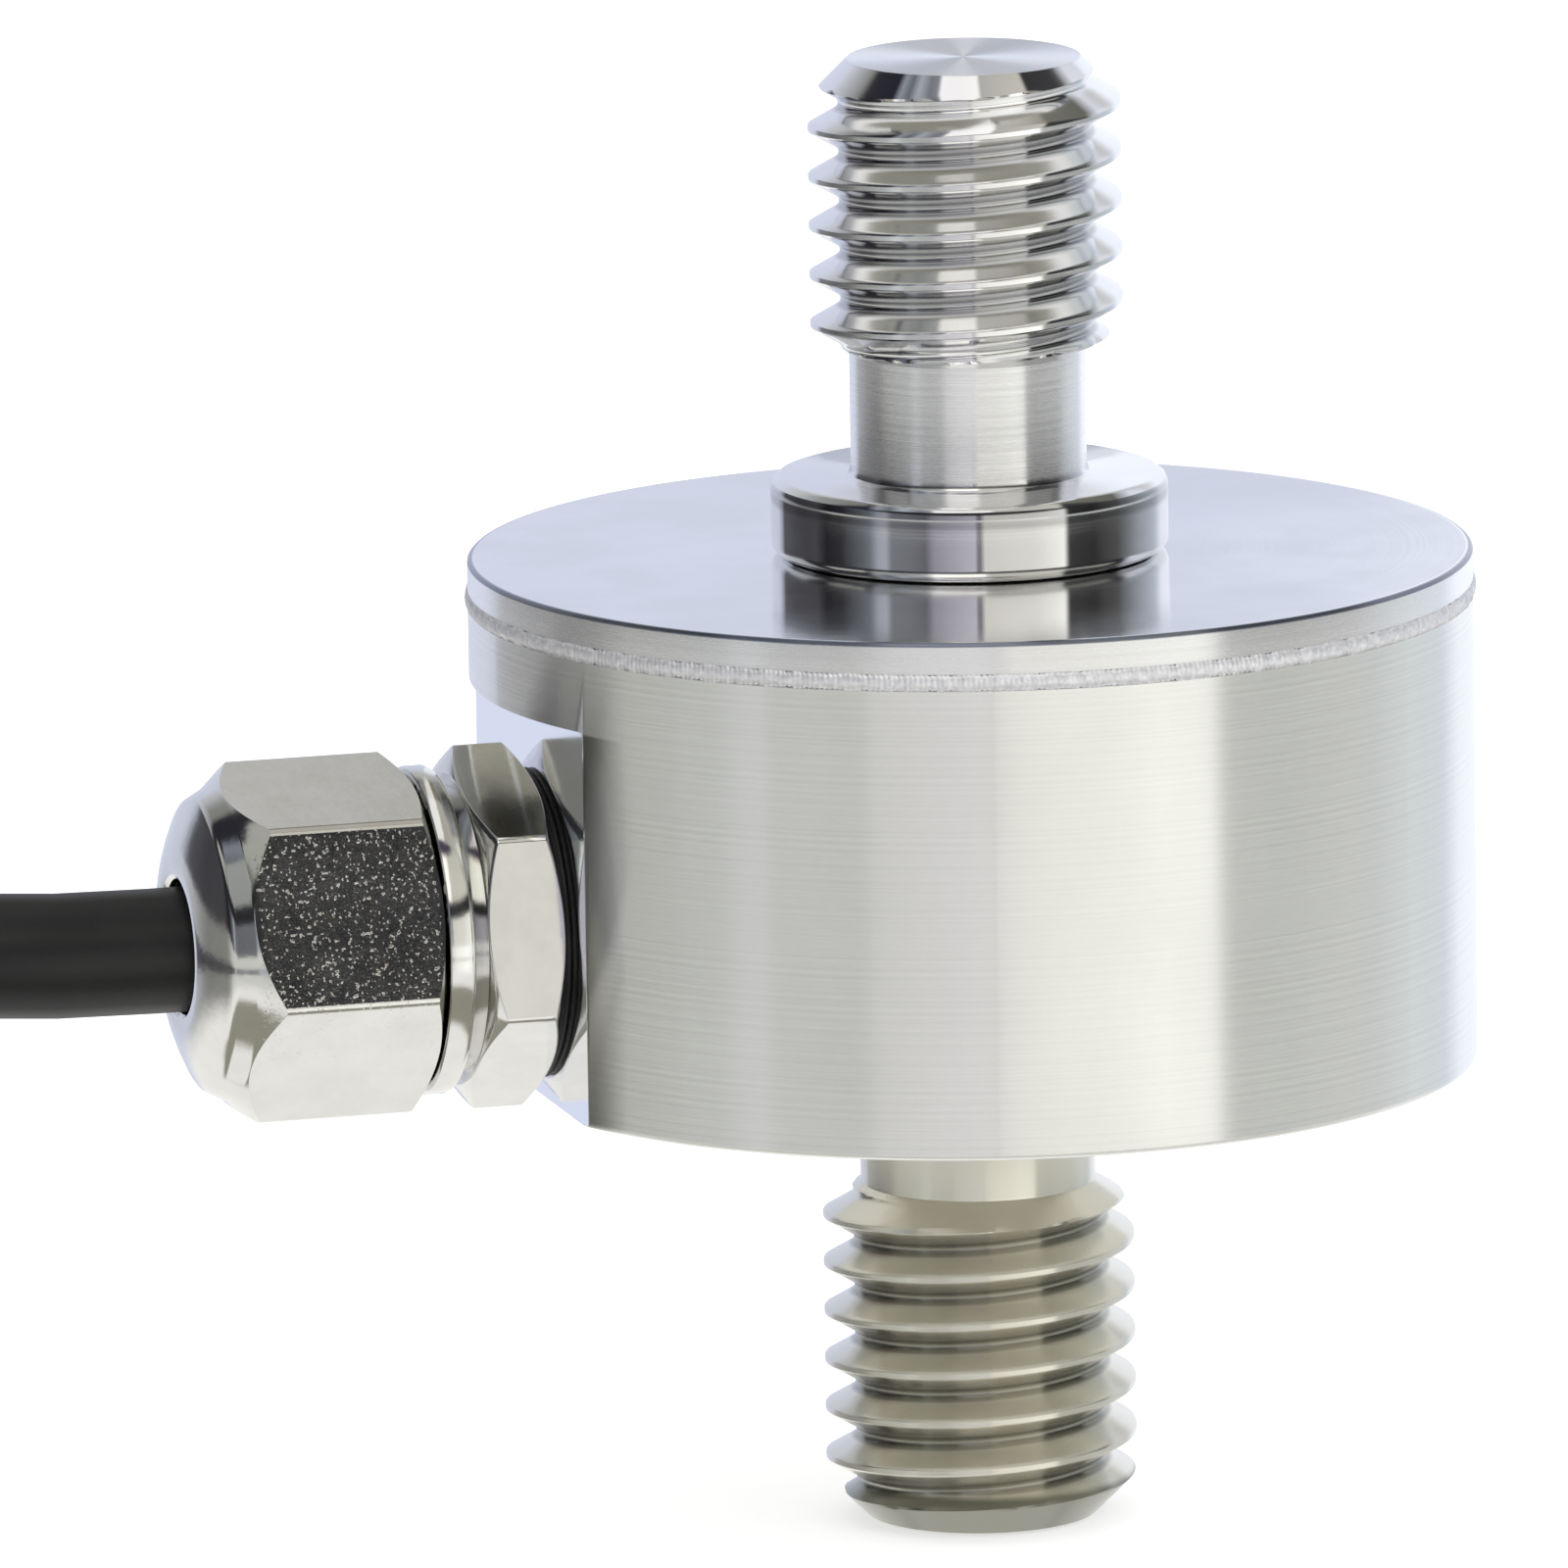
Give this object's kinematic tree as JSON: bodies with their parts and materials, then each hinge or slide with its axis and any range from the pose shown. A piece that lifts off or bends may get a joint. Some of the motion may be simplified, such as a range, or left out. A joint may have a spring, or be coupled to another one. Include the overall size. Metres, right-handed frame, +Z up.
{
  "type": "miniature tension load cell",
  "caption": "Miniature in-line tension load cell: round steel body, a male threaded stud on each end face, a side cable gland and a thin cable.",
  "frame": {"origin": "centre of the lower stud's flat end face, where the cell stands", "axes": "+Z up along both studs, the cable gland points along -X"},
  "size_m": [0.1125, 0.0563, 0.0374],
  "materials": {
    "polished_steel": "mirror polished stainless steel",
    "turned_steel": "finely turned satin stainless steel",
    "weld_steel": "rippled laser weld",
    "nickel_plate": "nickel plated brass",
    "gasket_rubber": "black rubber",
    "seal_rubber": "soft rubber",
    "slip_ring": "turned brass",
    "gauge_foil": "amber polyimide film with metal foil",
    "copper_wire": "enamelled copper",
    "tinned_wire": "tinned copper",
    "circuit_board": "glass fibre board",
    "chip_ceramic": "chip resistor",
    "cable_jacket": "matte black jacket",
    "shrink_sleeve": "black heat shrink",
    "yellow_insulation": "yellow insulation",
    "red_insulation": "red insulation",
    "black_insulation": "black insulation",
    "green_insulation": "green insulation",
    "white_insulation": "white insulation"
  },
  "bodies": {
    "root": {"upper_member": "polished_steel", "cup_housing": "turned_steel", "weld_bead": "weld_steel", "gland_gasket": "gasket_rubber", "gland_body": "nickel_plate", "gland_seal": "seal_rubber", "clamp_ring": "slip_ring", "compression_nut": "nickel_plate", "terminal_board": "circuit_board", "zero_resistor_1": "chip_ceramic", "zero_resistor_2": "chip_ceramic", "span_resistor": "chip_ceramic", "temperature_resistor": "chip_ceramic", "shield_drain": "tinned_wire", "cable": "cable_jacket", "cable_coil": "cable_jacket", "cable_tail": "cable_jacket", "end_sleeve": "shrink_sleeve", "lead_shield": "yellow_insulation", "strain_gauge_1": "gauge_foil", "gauge_leads_1": "copper_wire", "strain_gauge_2": "gauge_foil", "gauge_leads_2": "copper_wire", "strain_gauge_3": "gauge_foil", "gauge_leads_3": "copper_wire", "strain_gauge_4": "gauge_foil", "gauge_leads_4": "copper_wire", "core_red": "red_insulation", "lead_red": "red_insulation", "core_black": "black_insulation", "lead_black": "black_insulation", "core_green": "green_insulation", "lead_green": "green_insulation", "core_white": "white_insulation", "lead_white": "white_insulation"}
  },
  "joints": []
}
